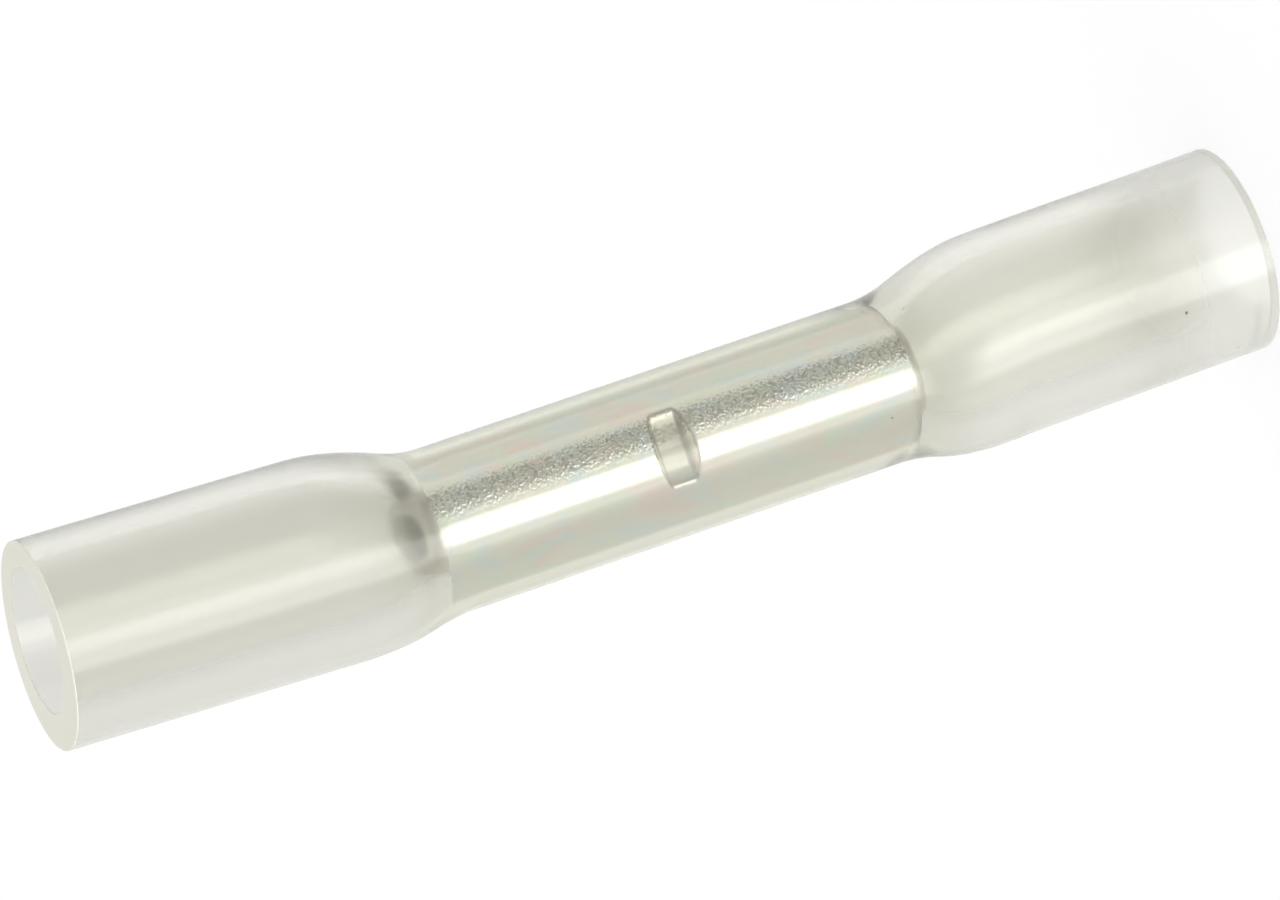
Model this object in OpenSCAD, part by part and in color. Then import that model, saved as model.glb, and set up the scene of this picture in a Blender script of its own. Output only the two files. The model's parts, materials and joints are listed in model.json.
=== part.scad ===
// Heat-shrink butt splice connector: a plated crimp barrel with a wire stop,
// held in a clear sleeve that is shrunk onto it and left wide at both ends.
// The connector stands on its lower mouth, with the barrel's axis along +Z.
// Both mouths lean a little towards +X, as the sleeve set when it was shrunk.

/* [Sleeve] */
// Length of the sleeve along its axis
sleeve_length = 36; // [32:0.5:44]
// Outside diameter of the open mouths
mouth_od = 5.85; // [5.2:0.05:7]
// Wall thickness at the open mouths
mouth_wall = 0.88; // [0.6:0.02:1]
// Outside diameter of the neck, where the sleeve is shrunk onto the barrel
neck_od = 4.65; // [4.1:0.05:5]
// Length of the straight part of the neck, measured outside
neck_length = 12.9; // [10:0.1:14]
// Distance of the neck's middle below the sleeve's middle
neck_drop = 0.3; // [0:0.05:0.8]
// Radius of each outer shoulder's hollow bend, next to the neck
shoulder_hollow = 4; // [3:0.1:6]
// Radius of each outer shoulder's crowned bend, next to the mouth
shoulder_crown = 8.1; // [6:0.1:10]
// Radius of each inner shoulder's bend next to the barrel's end
bell_hollow = 3.2; // [2.4:0.1:4]
// Radius of each inner shoulder's bend next to the mouth's bore
bell_crown = 5; // [4:0.1:6]
// Lean of the upper mouth from the barrel's axis, in degrees
upper_lean = 2.4; // [0:0.1:4]
// Lean of the lower mouth from the barrel's axis, in degrees
lower_lean = 1.5; // [0:0.1:3]
// Distance inside the neck at which each lean starts
lean_inset = 1; // [0.2:0.1:2]

/* [Barrel] */
// Length of the crimp barrel
barrel_length = 15; // [12:0.1:16]
// Outside diameter of the crimp barrel
barrel_od = 2.5; // [2.3:0.05:2.8]
// Diameter of the wire bore
bore_d = 1.4; // [1.1:0.05:1.6]
// Distance of the barrel's middle below the sleeve's middle
barrel_drop = 0.25; // [0:0.05:1]
// Rounding of the barrel's outer end edges
rim_round = 0.3; // [0.1:0.02:0.34]
// Width of the lead-in chamfer at each end of the bore
lead_in = 0.12; // [0.05:0.01:0.16]

/* [Wire stop] */
// Depth of the pressed dent below the barrel's surface
stop_depth = 0.43; // [0.25:0.01:0.6]
// Length of the dent's flat floor, along the barrel
stop_floor = 0.7; // [0.4:0.05:1.2]
// Lean of the dent's end walls from the punch's direction, in degrees
stop_lean = 30; // [15:1:40]
// Rounding of the dent's floor edges and of the bump inside
stop_round = 0.12; // [0.05:0.01:0.18]
// How far the pressing squeezes the bore in all round the stop
stop_squeeze = 0.05; // [0.02:0.01:0.1]
// Direction that the dent faces, in degrees about the axis from +X
stop_facing = -90; // [-180:5:180]

/* [Fit] */
// Gap between the barrel and the sleeve all round
seat_gap = 0.02; // [0.01:0.005:0.05]
// Angle at which the sleeve leaves the barrel's rounded ends, in degrees
lift_angle = 13; // [5:1:20]

/* [Hidden] */
$fn = 96;

mouth_r = mouth_od / 2;
mouth_bore_r = mouth_r - mouth_wall;
neck_r = neck_od / 2;
barrel_r = barrel_od / 2;
bore_r = bore_d / 2;
seat_r = barrel_r + seat_gap;
barrel_wall = barrel_r - bore_r;

neck_low = (sleeve_length - neck_length) / 2 - neck_drop;
neck_high = neck_low + neck_length;
barrel_middle = sleeve_length / 2 - barrel_drop;
barrel_low = barrel_middle - barrel_length / 2;
barrel_high = barrel_middle + barrel_length / 2;
bell_lead = rim_round + bell_hollow * sin(lift_angle);
bell_waist_r = seat_r - bell_hollow * (1 - cos(lift_angle));
bell_low = barrel_low + bell_lead;
bell_high = barrel_high - bell_lead;
lean_low = neck_low + lean_inset;
lean_high = neck_high - lean_inset;
cut_spare = mouth_r;
space = 2 * sleeve_length;

stop_floor_x = barrel_r - stop_depth;
bump_floor_x = bore_r - stop_depth;
bump_floor = stop_floor + barrel_wall;
bump_half = bump_floor / 2 + stop_depth * tan(stop_lean);
punch_reach = barrel_od;

// Length of a smooth step of this rise that leaves a waist in a hollow bend and ends in a crowned one
function step_length(rise, hollow_r, crown_r) = sqrt(rise * (2 * (hollow_r + crown_r) - rise));

// Outline from the axis out to a tube that is wide below and steps in to a waist
module flared_half(wide_r, waist_r, waist_z, hollow_r, crown_r) {
    rise = wide_r - waist_r;
    step = step_length(rise, hollow_r, crown_r);
    hollow_share = hollow_r / (hollow_r + crown_r);
    wide_z = waist_z - step;
    join_z = waist_z - step * hollow_share;
    join_r = waist_r + rise * hollow_share;
    translate([0, -cut_spare]) square([wide_r, wide_z + cut_spare]);
    intersection() {
        translate([0, wide_z]) square([wide_r, join_z - wide_z]);
        translate([wide_r - crown_r, wide_z]) circle(crown_r);
    }
    difference() {
        translate([0, join_z]) square([join_r, waist_z - join_z]);
        translate([waist_r + hollow_r, waist_z]) circle(hollow_r);
    }
}

// Turns a half outline end for end on the sleeve
module from_top() {
    translate([0, sleeve_length]) mirror([0, 1]) children();
}

// Outline of the sleeve's outside
module sleeve_outline() {
    square([neck_r, sleeve_length]);
    flared_half(mouth_r, neck_r, neck_low, shoulder_hollow, shoulder_crown);
    from_top() flared_half(mouth_r, neck_r, sleeve_length - neck_high, shoulder_hollow, shoulder_crown);
}

// Swings something about a pivot on the barrel's axis; what is above it goes towards +X
module leaned(pivot_z, lean) {
    translate([0, 0, pivot_z]) rotate([0, lean, 0]) translate([0, 0, -pivot_z]) children();
}

// All the space above a height, and all the space below it
module space_above(z) {
    translate([-space / 2, -space / 2, z]) cube(space);
}
module space_below(z) {
    translate([-space / 2, -space / 2, z - space]) cube(space);
}

// Lets both ends of a straight tube lean, with a mitred joint at each pivot
module bowed(pivot_low, pivot_high) {
    difference() {
        children();
        leaned(pivot_low, -lower_lean / 2) space_below(pivot_low);
        leaned(pivot_high, upper_lean / 2) space_above(pivot_high);
    }
    intersection() {
        leaned(pivot_low, -lower_lean) children();
        leaned(pivot_low, -lower_lean / 2) space_below(pivot_low);
    }
    intersection() {
        leaned(pivot_high, upper_lean) children();
        leaned(pivot_high, upper_lean / 2) space_above(pivot_high);
    }
}

// Way through the sleeve: the barrel's seat, and a leaning bell that comes out of each end of it
module wire_way() {
    translate([0, 0, barrel_low]) cylinder(r = seat_r, h = barrel_length);
    leaned(bell_low, -lower_lean) rotate_extrude()
        flared_half(mouth_bore_r, bell_waist_r, bell_low, bell_hollow, bell_crown);
    leaned(bell_high, upper_lean) rotate_extrude() from_top()
        flared_half(mouth_bore_r, bell_waist_r, sleeve_length - bell_high, bell_hollow, bell_crown);
}

// The upper mouth is cut square to its own lean, and the lower one square to the barrel
module insulating_sleeve() {
    color([0.88, 0.88, 0.83, 0.45]) difference() {
        bowed(lean_low, lean_high) rotate_extrude() sleeve_outline();
        wire_way();
        leaned(lean_high, upper_lean) space_above(sleeve_length);
        space_below(0);
    }
}

// What is cut away to round the outer edge of an end at this radius
module edge_waste(edge_r, round_r) {
    translate([edge_r - round_r, 0]) difference() {
        square(round_r);
        translate([0, round_r]) circle(round_r);
    }
}

// Section of the wall where the bore is squeezed in, as one shallow arc along the stop
module squeezed_wall() {
    arc_r = (bump_half * bump_half + stop_squeeze * stop_squeeze) / (2 * stop_squeeze);
    inner_r = bore_r - stop_squeeze;
    reach = bump_half + 2 * stop_squeeze;
    intersection() {
        translate([inner_r / 2, -reach]) square([(inner_r + barrel_wall) / 2, 2 * reach]);
        translate([inner_r + arc_r, 0]) circle(arc_r);
    }
}

// Section of the barrel without its dent, from the bore to the outside, standing on z = 0
module barrel_section() {
    translate([0, barrel_length / 2]) squeezed_wall();
    difference() {
        translate([bore_r, 0]) square([barrel_wall, barrel_length]);
        for (end = [0, 1]) translate([0, end * barrel_length]) mirror([0, end]) {
            edge_waste(barrel_r, rim_round);
            polygon([[bore_r, 0], [bore_r + lead_in, 0], [bore_r, lead_in]]);
        }
    }
}

// One half of the punch's outline, with its nose edge rounded
module punch_half(half) {
    tangent = stop_round * tan(45 - stop_lean / 2);
    polygon([
        [0, 0],
        [0, half - tangent],
        [tangent * cos(stop_lean), half + tangent * sin(stop_lean)],
        [punch_reach, half + punch_reach * tan(stop_lean)],
        [punch_reach, 0]
    ]);
    translate([stop_round, half - tangent]) circle(stop_round);
}

// Bar across the barrel with leaning ends, from floor_x outwards
module punch_bar(floor_x, floor_length) {
    translate([floor_x, 0, 0]) rotate([90, 0, 0])
        linear_extrude(height = 2 * barrel_od, center = true)
            for (side = [0, 1]) mirror([0, side]) punch_half(floor_length / 2);
}

// Metal that the punch pushes into the bore
module stop_bump() {
    intersection() {
        punch_bar(bump_floor_x, bump_floor);
        cylinder(r = bore_r + barrel_wall / 2, h = barrel_length / 2, center = true);
    }
}

module crimp_barrel() {
    color([0.80, 0.80, 0.76]) translate([0, 0, barrel_middle]) rotate([0, 0, stop_facing]) difference() {
        union() {
            translate([0, 0, -barrel_length / 2]) rotate_extrude() barrel_section();
            stop_bump();
        }
        punch_bar(stop_floor_x, stop_floor);
    }
}

insulating_sleeve();
crimp_barrel();
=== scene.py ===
import bmesh
import bpy
import json
import math
from mathutils import Matrix, Vector, noise


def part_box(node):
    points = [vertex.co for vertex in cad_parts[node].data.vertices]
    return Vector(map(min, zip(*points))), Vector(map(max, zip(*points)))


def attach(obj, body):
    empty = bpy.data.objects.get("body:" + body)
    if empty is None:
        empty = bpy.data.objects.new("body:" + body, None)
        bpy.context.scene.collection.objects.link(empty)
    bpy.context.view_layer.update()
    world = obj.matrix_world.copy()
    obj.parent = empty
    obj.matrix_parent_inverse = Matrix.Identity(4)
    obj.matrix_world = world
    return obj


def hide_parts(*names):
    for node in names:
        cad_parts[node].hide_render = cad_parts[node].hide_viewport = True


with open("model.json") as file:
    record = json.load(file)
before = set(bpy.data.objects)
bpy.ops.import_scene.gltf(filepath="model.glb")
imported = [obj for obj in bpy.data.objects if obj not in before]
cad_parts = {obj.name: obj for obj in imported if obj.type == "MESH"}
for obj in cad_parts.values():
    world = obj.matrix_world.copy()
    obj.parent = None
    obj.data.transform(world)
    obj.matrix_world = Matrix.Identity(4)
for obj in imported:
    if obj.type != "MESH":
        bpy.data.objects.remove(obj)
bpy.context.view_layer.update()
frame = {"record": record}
mm = 0.001
mountSizes = {mount["name"]: mount["dims"] for mount in frame["record"]["mounts"]}
sleeveLow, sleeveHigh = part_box("insulating_sleeve")
barrelLow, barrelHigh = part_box("crimp_barrel")
wireMouthR = mountSizes["wire_mouth_upper"]["r_mm"] * mm
crimpBoreR = mountSizes["crimp_bore_upper"]["r_mm"] * mm
print("frame loaded: sleeve", round((sleeveHigh.z - sleeveLow.z) / mm, 2), "mm long")


# Camera: a long lens, turned so that the standing connector lies across the picture
cameraSet = {
    "pictureWidth": 1280,              # pixels of the photograph
    "pictureHeight": 900,
    "focalPixels": 10000.0,            # from how little the far mouth shrinks
    "metresPerPixel": 0.02734 * mm,    # at the connector's middle
    "elevation": 17.5,                 # degrees that the upper mouth leans to the camera
    "slope": 18.83,                    # degrees that the neck slopes across the picture
    "middlePixel": (650.85, 457.65),   # where the connector's middle falls
    "middleHeight": 18.0 * mm,
    "sensorWidth": 36.0,               # millimetres
    "nearest": 0.01,                   # metres between which things are drawn
    "farthest": 20.0,
}


def placeCamera(s):
    elevation = math.radians(s["elevation"])
    slope = math.radians(s["slope"])
    forward = Vector((0, math.cos(elevation), -math.sin(elevation)))
    level = Vector((1, 0, 0))
    rise = level.cross(forward)
    right = -math.sin(slope) * level - math.cos(slope) * rise
    up = math.cos(slope) * level - math.sin(slope) * rise
    middle = Vector((0, 0, s["middleHeight"]))
    offX = s["middlePixel"][0] - s["pictureWidth"] / 2
    offY = s["middlePixel"][1] - s["pictureHeight"] / 2
    aim = middle + s["metresPerPixel"] * (offY * up - offX * right)
    spot = aim - forward * s["focalPixels"] * s["metresPerPixel"]
    data = bpy.data.cameras.new("camera")
    data.sensor_width = s["sensorWidth"]
    data.lens = s["focalPixels"] / s["pictureWidth"] * s["sensorWidth"]
    data.clip_start = s["nearest"]
    data.clip_end = s["farthest"]
    camera = bpy.data.objects.new("camera", data)
    turned = Matrix((right, up, -forward)).transposed().to_4x4()
    camera.matrix_world = Matrix.Translation(spot) @ turned
    bpy.context.scene.collection.objects.link(camera)
    bpy.context.scene.camera = camera


placeCamera(cameraSet)
bpy.context.scene.view_settings.view_transform = "Standard"
print("camera placed")


# Small tools for node trees: a value that is a socket is linked, any other is set
def feed(tree, node, inputs):
    for key, value in inputs.items():
        if isinstance(value, bpy.types.NodeSocket):
            tree.links.new(value, node.inputs[key])
        else:
            node.inputs[key].default_value = value


def addNode(tree, kind, inputs=None, **settings):
    made = tree.nodes.new(kind)
    for key, value in settings.items():
        setattr(made, key, value)
    feed(tree, made, inputs or {})
    return made


def calc(tree, operation, a, b=0.0):
    return addNode(tree, "ShaderNodeMath", {0: a, 1: b}, operation=operation).outputs[0]


def distance(tree, a, b):
    squares = calc(tree, "ADD", calc(tree, "MULTIPLY", a, a), calc(tree, "MULTIPLY", b, b))
    return calc(tree, "SQRT", squares)


def ramp(tree, value, fromLow, fromHigh, toLow, toHigh):
    inputs = {"Value": value, 1: fromLow, 2: fromHigh, 3: toLow, 4: toHigh}
    return addNode(tree, "ShaderNodeMapRange", inputs, interpolation_type="SMOOTHSTEP").outputs[0]


def window(tree, value, middle, half, soft):
    rising = ramp(tree, value, middle - half - soft, middle - half + soft, 0.0, 1.0)
    falling = ramp(tree, value, middle + half - soft, middle + half + soft, 1.0, 0.0)
    return calc(tree, "MULTIPLY", rising, falling)


def tint(tree, share, base, colour):
    inputs = {"Factor": share, "A": base, "B": colour}
    return addNode(tree, "ShaderNodeMix", inputs, data_type="RGBA").outputs["Result"]


def grain(tree, place, size, detail):
    inputs = {0: place, 1: [1 / side for side in size]}
    stretched = addNode(tree, "ShaderNodeVectorMath", inputs, operation="MULTIPLY").outputs[0]
    inputs = {"Vector": stretched, "Scale": 1.0, "Detail": detail}
    return addNode(tree, "ShaderNodeTexNoise", inputs).outputs["Fac"]


def lifted(tree, height, lift):
    inputs = {"Height": height, "Strength": 1.0, "Distance": lift}
    return addNode(tree, "ShaderNodeBump", inputs).outputs[0]


# Splits a place or direction, and gives its turn about the upright axis from the front, in degrees
def fromFront(tree, place):
    x, y, z = addNode(tree, "ShaderNodeSeparateXYZ", {0: place}).outputs
    turn = calc(tree, "ARCTAN2", calc(tree, "MULTIPLY", x, -1.0), calc(tree, "MULTIPLY", y, -1.0))
    return x, y, z, calc(tree, "DEGREES", turn)


def fromMiddle(tree, height, low, high):
    return calc(tree, "ABSOLUTE", calc(tree, "SUBTRACT", height, (low + high) / 2))


def newMaterial(name):
    material = bpy.data.materials.new(name)
    material.use_nodes = True
    tree = material.node_tree
    place = addNode(tree, "ShaderNodeTexCoord").outputs["Object"]
    return material, tree, tree.nodes["Principled BSDF"], place


# Small tools for turned pieces: a closed profile of (radius, height) goes round in rings
def turnedPiece(name, profile, rounds, place):
    mesh = bpy.data.meshes.new(name)
    build = bmesh.new()
    rings = []
    for radius, height in profile:
        ring = [build.verts.new(place(radius, height, math.tau * i / rounds)) for i in range(rounds)]
        rings.append(ring)
    for low, high in zip(rings, rings[1:] + rings[:1]):
        for i in range(rounds):
            j = (i + 1) % rounds
            build.faces.new((low[i], low[j], high[j], high[i]))
    bmesh.ops.recalc_face_normals(build, faces=build.faces)
    for face in build.faces:
        face.smooth = True
    build.to_mesh(mesh)
    build.free()
    piece = bpy.data.objects.new(name, mesh)
    bpy.context.scene.collection.objects.link(piece)
    return piece


def heights(low, high, step):
    count = max(1, round((high - low) / step))
    return [low + (high - low) * i / count for i in range(count + 1)]


def quarterArc(radius, height, size, startDeg, steps):
    turns = [math.radians(startDeg + 90 * i / steps) for i in range(steps + 1)]
    return [(radius + size * math.cos(t), height + size * math.sin(t)) for t in turns]


# Insulating sleeve: shrunk clear tube, a little bowed and uneven as it came out of the oven
sleeveSet = {
    "length": 36.0 * mm,
    "neckR": 2.325 * mm,
    "neckLow": 11.25 * mm,             # where the neck's straight part starts and ends
    "neckHigh": 24.15 * mm,
    "neckBend": 4.0 * mm,              # hollow bend next to the neck
    "mouthBend": 8.1 * mm,             # crowned bend next to the mouth
    "bellNeckBend": 3.2 * mm,          # the same two bends inside
    "bellMouthBend": 5.0 * mm,
    "seatGrip": 0.004 * mm,            # how tightly the shrunk tube holds the barrel
    "seatEnd": 0.3 * mm,               # the tube lets go this far inside each end of the barrel
    "liftAngle": 13.0,                 # degrees at which it does
    "cutEdge": 0.04 * mm,              # the upper cut's edges are a little blunt, the lower ones sharp
    "lowerEdge": 0.01 * mm,
    "edgeSteps": 5,
    # each wide end leans: where that starts past the neck, over what length it steps sideways, and its slope
    "upperLean": {"start": 0.45 * mm, "span": 3.5 * mm, "jog": 0.26 * mm, "slope": 0.0375},
    "lowerLean": {"start": 1.05 * mm, "span": 2.9 * mm, "jog": 0.196 * mm, "slope": 0.0184},
    "upperCut": 0.06,                  # slant of the upper cut
    "boreShift": 0.2 * mm,             # the wall is thinner on the side that the mouths lean to
    "barrelShift": 0.04 * mm,          # and so it is beside the barrel
    "ripple": 0.012 * mm,              # unevenness of the wide ends
    "rippleLength": 4.0 * mm,
    "rounds": 144,                     # points in a ring
    "step": 0.2 * mm,                  # between rings
}
sleeveFaces = ("outside", "upper", "lower", "bore")    # in the order of the faces' material numbers


def shoulderLength(rise, hollow, crown):
    return math.sqrt(rise * (2 * (hollow + crown) - rise))


def shoulderRise(away, rise, hollow, crown):
    length = shoulderLength(rise, hollow, crown)
    bend = length * hollow / (hollow + crown)
    if away <= 0:
        return 0.0
    if away >= length:
        return rise
    if away <= bend:
        return hollow - math.sqrt(hollow ** 2 - away ** 2)
    return rise - crown + math.sqrt(crown ** 2 - (length - away) ** 2)


def lean(away, start, span, jog, slope):
    if away <= start:
        return 0.0
    u = min(1.0, (away - start) / span)
    eased = jog * u * u * (3 - 2 * u) + slope * span * (u ** 3 - u * u)
    return eased + slope * max(0.0, away - start - span)


def makeSleeve(s):
    length = s["length"]
    mouthR = sleeveHigh.y
    seatR = barrelHigh.x - s["seatGrip"]
    liftLow = barrelLow.z + s["seatEnd"]
    liftHigh = barrelHigh.z - s["seatEnd"]
    lift = math.radians(s["liftAngle"])
    bellR = seatR - s["bellNeckBend"] * (1 - math.cos(lift))
    bellLead = s["bellNeckBend"] * math.sin(lift)
    edge, lowEdge, edgeSteps = s["cutEdge"], s["lowerEdge"], s["edgeSteps"]
    rise = mouthR - s["neckR"]
    bellRise = wireMouthR - bellR

    def outer(z):
        away = max(s["neckLow"] - z, z - s["neckHigh"])
        return s["neckR"] + shoulderRise(away, rise, s["neckBend"], s["mouthBend"])

    def inner(z):
        away = max(liftLow - z, z - liftHigh) + bellLead
        return max(seatR, bellR + shoulderRise(away, bellRise, s["bellNeckBend"], s["bellMouthBend"]))

    def place(radius, z, turn):
        x, y = math.cos(turn), math.sin(turn)
        wide = max(0.0, (outer(z) - s["neckR"]) / rise)
        swell = noise.noise(Vector((x, y, z / s["rippleLength"]))) * s["ripple"] * wide
        x, y = x * (radius + swell), y * (radius + swell)
        low, high = s["neckLow"], s["neckHigh"]
        shift = -s["barrelShift"]
        if radius < (outer(z) + inner(z)) / 2:    # inside, where only the wide ends are off the barrel's axis
            low, high = min(low, liftLow), max(high, liftHigh)
            shift = (s["boreShift"] - s["barrelShift"]) * (inner(z) - seatR) / (wireMouthR - seatR)
        side = shift + lean(low - z, **s["lowerLean"]) + lean(z - high, **s["upperLean"])
        slant = s["upperCut"] * max(0.0, (z - high) / (length - high))
        return Vector((x + side, y, z - x * slant))

    # up the outside, over the upper cut, down the bore and across the lower cut
    profile = [(outer(z), z) for z in heights(lowEdge, length - edge, s["step"])]
    profile += quarterArc(mouthR - edge, length - edge, edge, 0, edgeSteps)[1:]
    profile += quarterArc(wireMouthR + edge, length - edge, edge, 90, edgeSteps)
    boreHeights = heights(lowEdge, liftLow, s["step"])[:-1]
    boreHeights += heights(liftLow, liftHigh, s["step"])
    boreHeights += heights(liftHigh, length - edge, s["step"])[1:]
    boreStart = len(profile) - 1
    profile += [(inner(z), z) for z in reversed(boreHeights)][1:]
    boreEnd = len(profile) - 1
    profile += quarterArc(wireMouthR + lowEdge, lowEdge, lowEdge, 180, edgeSteps)[1:]
    profile += quarterArc(mouthR - lowEdge, lowEdge, lowEdge, 270, edgeSteps)[:-1]
    piece = turnedPiece("clearSleeve", profile, s["rounds"], place)

    nextPoints = profile[1:] + profile[:1]
    for polygon in piece.data.polygons:
        step = polygon.index // s["rounds"]
        ends = (profile[step][1], nextPoints[step][1])
        if min(ends) >= length - edge:
            face = "upper"
        elif max(ends) <= lowEdge:
            face = "lower"
        elif boreStart <= step < boreEnd:
            face = "bore"
        else:
            face = "outside"
        polygon.material_index = sleeveFaces.index(face)
    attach(piece, "root")
    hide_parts("insulating_sleeve")
    return piece


clearSleeve = makeSleeve(sleeveSet)
print("sleeve turned:", len(clearSleeve.data.polygons), "faces")


# Crimp barrel: tinned copper tube with rounded rims and one pressed wire stop
barrelSet = {
    "rimRound": 0.3 * mm,
    "rimSteps": 8,
    "leadIn": 0.12 * mm,               # chamfer at each end of the bore
    "stopDepth": 0.43 * mm,
    "stopFloor": 0.7 * mm,             # length of the dent's floor
    "stopLean": 30.0,                  # degrees that its end walls lean
    "stopTop": 1.2,                    # they end this many radii out
    "stopTurn": 1.5,                   # degrees that the punch was off the front
    "stopSoft": 0.06 * mm,             # rounding of the dent's edges
    "stopFlat": 0.45 * mm,             # the dent's floor is flat this far from its middle
    "stopDish": 0.9 / mm,              # and rises past that
    "rounds": 192,                     # points in a ring
    "step": 0.35 * mm,                 # between rings
    "stopStep": 0.03 * mm,             # between the fine rings
    "stopReach": 1.3 * mm,             # which go this far to each side of the stop
}


def softMin(a, b, soft):
    gap = max(0.0, soft - abs(a - b)) / soft
    return min(a, b) - gap * gap * soft / 4


def makeBarrel(s):
    outerR = barrelHigh.x
    wall = outerR - crimpBoreR
    low, high = barrelLow.z, barrelHigh.z
    middle = (low + high) / 2
    rim, leadIn = s["rimRound"], s["leadIn"]
    climb = 1 / math.tan(math.radians(s["stopLean"]))
    faceCos = math.cos(math.radians(s["stopTurn"]))
    faceSin = math.sin(math.radians(s["stopTurn"]))

    # how far out from the axis the punch leaves the metal, outside and in the bore
    def pressed(away, across, radius, floorLength):
        limit = radius - s["stopDepth"] + max(0.0, abs(away) - floorLength / 2) * climb
        limit = softMin(limit, radius * s["stopTop"], s["stopSoft"])
        return limit + s["stopDish"] * max(0.0, abs(across) - s["stopFlat"]) ** 2

    def place(radius, z, turn):
        x, y = radius * math.cos(turn), radius * math.sin(turn)
        ahead = x * faceSin - y * faceCos
        across = x * faceCos + y * faceSin
        if radius < (outerR + crimpBoreR) / 2:
            limit = pressed(z - middle, across, crimpBoreR, s["stopFloor"] + wall)
        else:
            limit = pressed(z - middle, across, outerR, s["stopFloor"])
        if ahead > 0:
            ahead = softMin(ahead, limit, s["stopSoft"])
        return Vector((across * faceCos + ahead * faceSin, across * faceSin - ahead * faceCos, z))

    def rows(start, end):
        before = heights(start, middle - s["stopReach"], s["step"])
        fine = heights(middle - s["stopReach"], middle + s["stopReach"], s["stopStep"])
        after = heights(middle + s["stopReach"], end, s["step"])
        return before + fine[1:] + after[1:]

    # up the outside, over the upper rim, down the bore and under the lower rim
    profile = [(outerR, z) for z in rows(low + rim, high - rim)]
    profile += quarterArc(outerR - rim, high - rim, rim, 0, s["rimSteps"])[1:]
    profile += [(crimpBoreR + leadIn, high), (crimpBoreR, high - leadIn)]
    profile += [(crimpBoreR, z) for z in reversed(rows(low + leadIn, high - leadIn))][1:]
    profile += [(crimpBoreR + leadIn, low)]
    profile += quarterArc(outerR - rim, low + rim, rim, 270, s["rimSteps"])[:-1]
    piece = turnedPiece("tinnedBarrel", profile, s["rounds"], place)
    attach(piece, "root")
    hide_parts("crimp_barrel")
    return piece


tinnedBarrel = makeBarrel(barrelSet)
print("barrel turned:", len(tinnedBarrel.data.polygons), "faces")


# Clear shrink plastic: a little yellow at the neck, paler at the wide ends, milky at the lower mouth
plasticSet = {
    "ior": 1.57,
    "neckColour": (0.84, 0.84, 0.775, 1.0),
    "upperColour": (0.94, 0.94, 0.925, 1.0),    # of the wide ends
    "lowerColour": (0.985, 0.985, 0.968, 1.0),
    "neckRough": 0.12,
    "mouthRough": 0.14,
    "neckClear": 0.92,
    "shoulderClear": 0.94,
    "mouthClear": 0.97,
    "fade": (0.5 * mm, 3.0 * mm, 6.0 * mm),     # past the neck: as at the neck, the shoulder and the mouth
    "milkyClear": 0.70,                         # at the lower mouth
    "milkyFull": 1.5 * mm,                      # heights between which the milkiness fades out
    "milkyGone": 4.5 * mm,
    "boreClear": 0.985,
    "boreBarrelRough": 0.22,                    # inside: by the barrel, in the wide ends, at the lower mouth
    "boreRough": 0.15,
    "boreLowRough": 0.33,
    "sheen": 0.12,                              # soft light along the edges
    "sheenRough": 0.35,
    "cuts": {                                   # the upper cut is dull, the lower one as pale as its end
        "upper": {"colour": (0.97, 0.955, 0.88, 1.0), "rough": 0.7, "clear": 0.12, "shine": 0.2},
        "lower": {"rough": 0.05, "clear": 0.99, "shine": 0.5},
    },
    "absorbColour": (0.88, 0.88, 0.78, 1.0),
    "absorbDensity": 100.0,
    "speckColour": (0.16, 0.14, 0.10, 1.0),
    "speckCore": 0.5,                           # share of a speck's radius that is fully dark
    "specks": [                                 # turn from the front in degrees, height and radius
        (20.5, 2.84 * mm, 0.055 * mm),
        (-70.0, 7.63 * mm, 0.05 * mm),
        (-43.0, 10.3 * mm, 0.04 * mm),
        (-56.0, 11.28 * mm, 0.045 * mm),
        (28.0, 11.74 * mm, 0.04 * mm),
        (62.0, 1.2 * mm, 0.03 * mm),
    ],
    "grainFaces": ("outside", "upper"),
    "grainSize": (0.07 * mm, 0.07 * mm, 0.35 * mm),
    "grainDetail": 2.0,
    "grainLift": 0.0006 * mm,
}


def pastNeck(tree, height, s):
    low, high = sleeveSet["neckLow"], sleeveSet["neckHigh"]
    away = fromMiddle(tree, height, low, high)
    return away, [(high - low) / 2 + past for past in s["fade"]]


def endColour(tree, height, s):
    share = ramp(tree, height, sleeveSet["neckLow"], sleeveSet["neckHigh"], 0.0, 1.0)
    return tint(tree, share, s["lowerColour"], s["upperColour"])


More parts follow.
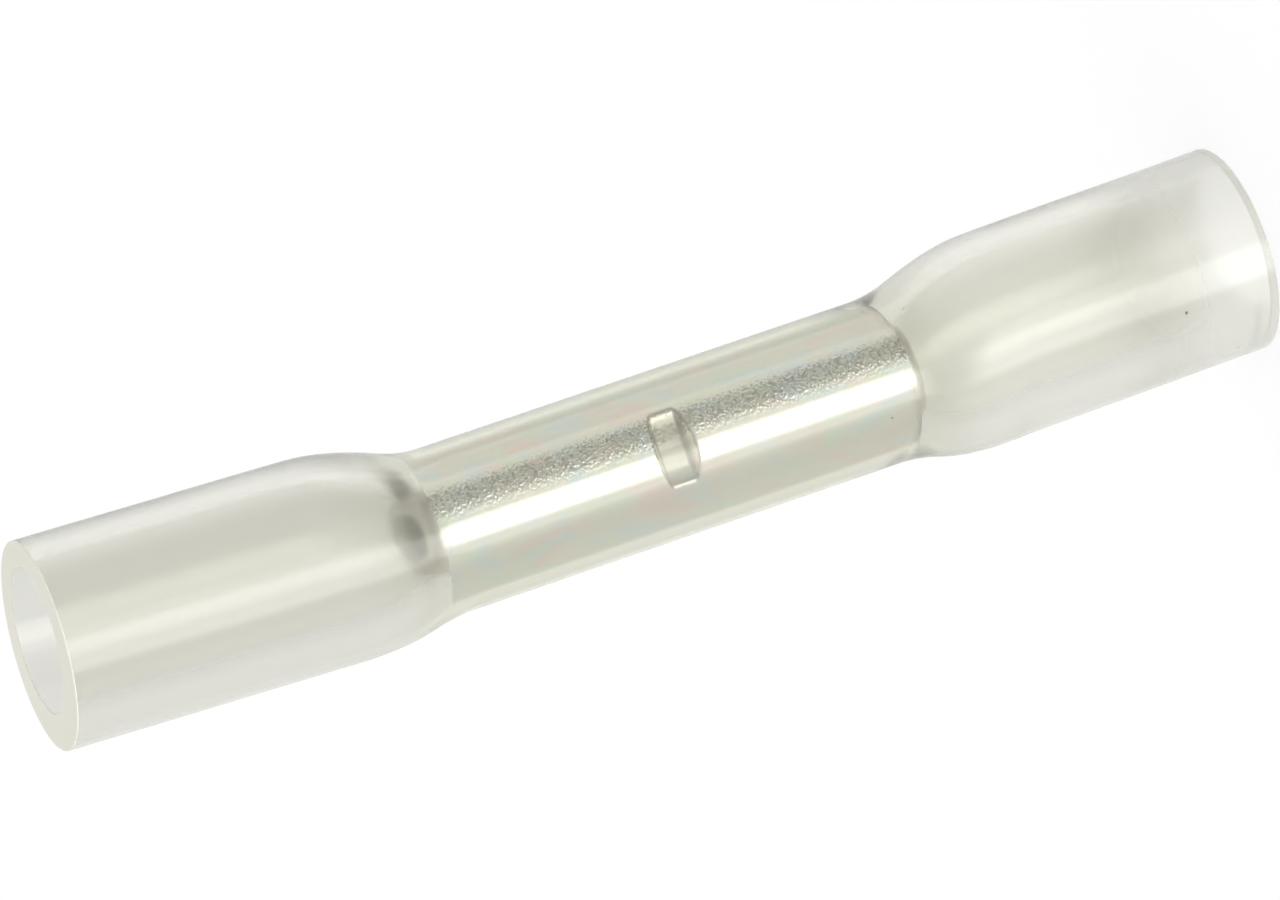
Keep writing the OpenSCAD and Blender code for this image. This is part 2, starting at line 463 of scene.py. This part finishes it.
def outsideLooks(tree, place, s):
    height, turn = fromFront(tree, place)[2:]
    away, (neck, shoulder, mouth) = pastNeck(tree, height, s)
    toShoulder = ramp(tree, away, neck, shoulder, s["neckClear"], s["shoulderClear"])
    toMouth = ramp(tree, away, shoulder, mouth, 0.0, s["mouthClear"] - s["shoulderClear"])
    milky = s["milkyClear"] / s["mouthClear"]
    veil = ramp(tree, height, s["milkyFull"], s["milkyGone"], milky, 1.0)
    wide = ramp(tree, away, neck, shoulder, 0.0, 1.0)
    colour = tint(tree, wide, s["neckColour"], endColour(tree, height, s))
    degree = math.radians(1.0) * sleeveSet["neckR"]
    for side, level, size in s["specks"]:
        around = calc(tree, "MULTIPLY", calc(tree, "SUBTRACT", turn, side), degree)
        along = calc(tree, "SUBTRACT", height, level)
        dot = ramp(tree, distance(tree, around, along), size * s["speckCore"], size, 1.0, 0.0)
        colour = tint(tree, dot, colour, s["speckColour"])
    return {
        "Base Color": colour,
        "Roughness": ramp(tree, away, neck, shoulder, s["neckRough"], s["mouthRough"]),
        "Transmission Weight": calc(tree, "MULTIPLY", calc(tree, "ADD", toShoulder, toMouth), veil),
        "Sheen Weight": s["sheen"],
        "Sheen Roughness": s["sheenRough"],
    }


def boreLooks(tree, place, s):
    height = addNode(tree, "ShaderNodeSeparateXYZ", {0: place}).outputs["Z"]
    away, fade = pastNeck(tree, height, s)
    rough = ramp(tree, away, *fade[:2], s["boreBarrelRough"], s["boreRough"])
    duller = s["boreLowRough"] - s["boreRough"]
    lowest = ramp(tree, height, s["milkyFull"], s["milkyGone"], duller, 0.0)
    return {
        "Base Color": endColour(tree, height, s),
        "Roughness": calc(tree, "ADD", rough, lowest),
        "Transmission Weight": s["boreClear"],
    }


def cutLooks(cut, s):
    return {
        "Base Color": cut.get("colour", s["lowerColour"]),
        "Roughness": cut["rough"],
        "Transmission Weight": cut["clear"],
        "Specular IOR Level": cut["shine"],
    }


def makePlastic(s, face):
    material, tree, shader, place = newMaterial(face + "ShrinkPlastic")
    if face in s["cuts"]:
        looks = cutLooks(s["cuts"][face], s)
    elif face == "bore":
        looks = boreLooks(tree, place, s)
    else:
        looks = outsideLooks(tree, place, s)
    if face in s["grainFaces"]:
        satin = grain(tree, place, s["grainSize"], s["grainDetail"])
        looks["Normal"] = lifted(tree, satin, s["grainLift"])
    looks["IOR"] = s["ior"]
    feed(tree, shader, looks)
    inputs = {"Color": s["absorbColour"], "Density": s["absorbDensity"]}
    absorb = addNode(tree, "ShaderNodeVolumeAbsorption", inputs)
    tree.links.new(absorb.outputs[0], tree.nodes["Material Output"].inputs["Volume"])
    return material


for faceName in sleeveFaces:
    clearSleeve.data.materials.append(makePlastic(plasticSet, faceName))
print("plastic mixed")


# Bright tin over copper: smooth, with a fine grain whose darker specks along one flank are partly painted
# shade, faint tints, and a duller pressed floor that is partly painted shade
tinSet = {
    "colour": (0.84, 0.83, 0.79, 1.0),
    "rough": 0.25,
    "speckRough": 0.5,                         # the grain's dull specks
    # darker colour of the grain's specks: real grain, but laid almost only on one flank, so partly painted
    # shade
    "speckColour": (0.52, 0.51, 0.47, 1.0),
    "speckSpan": (0.5, 0.62),                  # grain heights between which the tin turns dull
    "grainSize": (0.07 * mm, 0.07 * mm, 0.08 * mm),
    "grainDetail": 1.0,
    "grainLift": 0.03 * mm,
    "grainAndShadeFlank": (-25.0, 14.0, 8.0),          # turn from the front in degrees: middle, half, soft edge; this flank reflects the studio's dark side, and the darker specks laid on it are partly painted shade
    "grainElsewhere": 0.004,
    "floorRough": 0.42,
    # the dent's floor colour is darker partly as duller pressed tin, partly as painted shade in the dent
    "floorColour": (0.74, 0.73, 0.69, 1.0),
    "floorReach": (0.42 * mm, 0.08 * mm),      # half length of the dull floor, and its soft edge
    "floorDepth": (0.16 * mm, 0.05 * mm),      # dull from here down, bright from here up
    "rimRough": 0.55,                          # the ends are duller, and they and the bore are paler
    "rimColour": (0.95, 0.93, 0.88, 1.0),
    "rimSpan": (0.34 * mm, 0.24 * mm),         # from the end: bright up to here, pale from here on
    "boreMetal": 0.2,                          # the bore shines less
    "boreSpan": (0.05 * mm, 0.1 * mm),         # out from the bore: dull up to here, bright from here on
    "tints": [
        {"colour": (0.88, 0.77, 0.75, 1.0), "size": (0.7 * mm, 0.7 * mm, 1.9 * mm), "offset": 0.0},
        {"colour": (0.77, 0.85, 0.76, 1.0), "size": (0.6 * mm, 0.6 * mm, 1.5 * mm), "offset": 40.0 * mm},
        {"colour": (0.76, 0.83, 0.87, 1.0), "size": (0.5 * mm, 0.5 * mm, 1.2 * mm), "offset": 90.0 * mm},
    ],
    "tintSpan": (0.5, 0.68),                   # cloud heights between which a tint comes in
    "tintShare": 0.8,
}


def tintedTin(tree, place, s):
    colour = s["colour"]
    for patch in s["tints"]:
        inputs = {0: place, 1: [patch["offset"]] * 3}
        shifted = addNode(tree, "ShaderNodeVectorMath", inputs, operation="ADD").outputs[0]
        cloud = grain(tree, shifted, patch["size"], s["grainDetail"])
        colour = tint(tree, ramp(tree, cloud, *s["tintSpan"], 0.0, s["tintShare"]), colour, patch["colour"])
    return colour


def makeTin(s):
    material, tree, shader, place = newMaterial("brightTin")
    x, y, z, turn = fromFront(tree, place)
    radius = distance(tree, x, y)
    flank = calc(tree, "MAXIMUM", window(tree, turn, *s["grainAndShadeFlank"]), s["grainElsewhere"])
    mottle = grain(tree, place, s["grainSize"], s["grainDetail"])
    dull = calc(tree, "MULTIPLY", ramp(tree, mottle, *s["speckSpan"], 0.0, 1.0), flank)

    # the dent's floor, the two ends and the bore, each as a share from 0 to 1
    middle = (barrelLow.z + barrelHigh.z) / 2
    half = (barrelHigh.z - barrelLow.z) / 2
    deep, shallow = (barrelHigh.x - depth for depth in s["floorDepth"])
    dullShadedFloor = ramp(tree, radius, deep, shallow, 1.0, 0.0)
    dullShadedFloor = calc(tree, "MULTIPLY", dullShadedFloor, window(tree, z, middle, *s["floorReach"]))
    away = fromMiddle(tree, z, barrelLow.z, barrelHigh.z)
    rimStart, rimFull = (half - span for span in s["rimSpan"])
    rim = ramp(tree, away, rimStart, rimFull, 0.0, 1.0)
    boreFull, boreEnd = (crimpBoreR + span for span in s["boreSpan"])
    inside = ramp(tree, radius, boreFull, boreEnd, 1.0, 0.0)

    rough = s["rough"]
    for share, duller in ((dull, s["speckRough"]), (dullShadedFloor, s["floorRough"]), (rim, s["rimRough"])):
        rough = calc(tree, "ADD", rough, calc(tree, "MULTIPLY", share, duller - s["rough"]))
    # the grain's specks darken the flank that reflects the dark side: real grain, partly painted shade
    colour = tint(tree, dull, tintedTin(tree, place, s), s["speckColour"])
    # the dent's floor turns darker: partly duller pressed tin, partly painted shade in the recess
    colour = tint(tree, dullShadedFloor, colour, s["floorColour"])
    colour = tint(tree, calc(tree, "MAXIMUM", rim, inside), colour, s["rimColour"])
    feed(tree, shader, {
        "Base Color": colour,
        "Roughness": rough,
        "Metallic": ramp(tree, inside, 0.0, 1.0, 1.0, s["boreMetal"]),
        "Normal": lifted(tree, calc(tree, "MULTIPLY", mottle, flank), s["grainLift"]),
    })
    return material


tinnedBarrel.data.materials.append(makeTin(tinSet))
print("tin plated")


# White studio: pale all round, with soft boxes and one darker side. Each patch of light has its turn about
# the upright axis from the front and its tilt above the horizon, as middle, half and soft edge in degrees.
studioSet = {
    "level": 0.85,
    "colour": (1.0, 1.0, 0.96, 1.0),
    "tilt": (0.0, 80.0, 10.0),                                                      # of a patch that names none
    "patches": [
        {"level": 0.42, "turn": (-55.0, 20.0, 8.0)},                                # dark side
        {"level": 3.75, "turn": (21.0, 17.0, 4.0), "tilt": (-35.0, 38.0, 8.0)},     # front soft box
        {"level": 0.55, "turn": (47.0, 4.0, 3.0)},                                  # its dark edge
        {"level": 1.05, "turn": (68.0, 10.0, 6.0)},                                 # glow below it
        {"level": 0.78, "turn": (113.0, 17.0, 6.0)},                                # dim far side
        {"level": 1.5, "turn": (-99.0, 5.0, 4.0)},                                  # window slit
        {"level": 0.98, "turn": (-132.0, 18.0, 6.0)},                               # wall beside it
    ],
    "seenColour": (1.0, 1.0, 1.0, 1.0),        # the camera itself sees plain white
    "seenLevel": 1.0,
    "floorSize": 3.0,                          # metres
    "floorColour": (0.3, 0.3, 0.316, 1.0),
    "floorGlow": 0.76,                         # brings the floor up to white, for the camera alone
}


def lightWorld(s):
    world = bpy.data.worlds.new("whiteStudio")
    bpy.context.scene.world = world
    world.use_nodes = True
    tree = world.node_tree
    way = addNode(tree, "ShaderNodeTexCoord").outputs["Generated"]
    rise, turn = fromFront(tree, way)[2:]
    tilt = calc(tree, "DEGREES", calc(tree, "ARCSINE", rise))
    light = s["level"]
    for patch in s["patches"]:
        middle, half, soft = patch["turn"]
        inputs = {0: calc(tree, "SUBTRACT", turn, middle), 1: 180.0, 2: -180.0}
        offset = addNode(tree, "ShaderNodeMath", inputs, operation="WRAP").outputs[0]
        share = window(tree, offset, 0.0, half, soft)
        share = calc(tree, "MULTIPLY", share, window(tree, tilt, *patch.get("tilt", s["tilt"])))
        light = calc(tree, "ADD", light, calc(tree, "MULTIPLY", share, patch["level"] - s["level"]))
    seen = addNode(tree, "ShaderNodeLightPath").outputs["Is Camera Ray"]
    inputs = {"Factor": seen, "A": light, "B": s["seenLevel"]}
    feed(tree, tree.nodes["Background"], {
        "Color": tint(tree, seen, s["colour"], s["seenColour"]),
        "Strength": addNode(tree, "ShaderNodeMix", inputs).outputs[0],
    })


def layFloor(s):
    material = bpy.data.materials.new("paleFloor")
    material.use_nodes = True
    tree = material.node_tree
    tree.nodes.remove(tree.nodes["Principled BSDF"])
    matt = addNode(tree, "ShaderNodeBsdfDiffuse", {"Color": s["floorColour"]})
    seen = addNode(tree, "ShaderNodeLightPath").outputs["Is Camera Ray"]
    glow = addNode(tree, "ShaderNodeEmission", {"Strength": calc(tree, "MULTIPLY", seen, s["floorGlow"])})
    both = addNode(tree, "ShaderNodeAddShader", {0: matt.outputs[0], 1: glow.outputs[0]})
    tree.links.new(both.outputs[0], tree.nodes["Material Output"].inputs["Surface"])
    bpy.ops.mesh.primitive_plane_add(size=s["floorSize"])
    floor = bpy.context.object
    floor.name = "floor"
    floor.data.materials.append(material)
    for rays in ("glossy", "transmission", "diffuse", "shadow"):
        setattr(floor, "visible_" + rays, False)    # the connector sees and gets the studio's light all round


lightWorld(studioSet)
layFloor(studioSet)
print("studio lit")
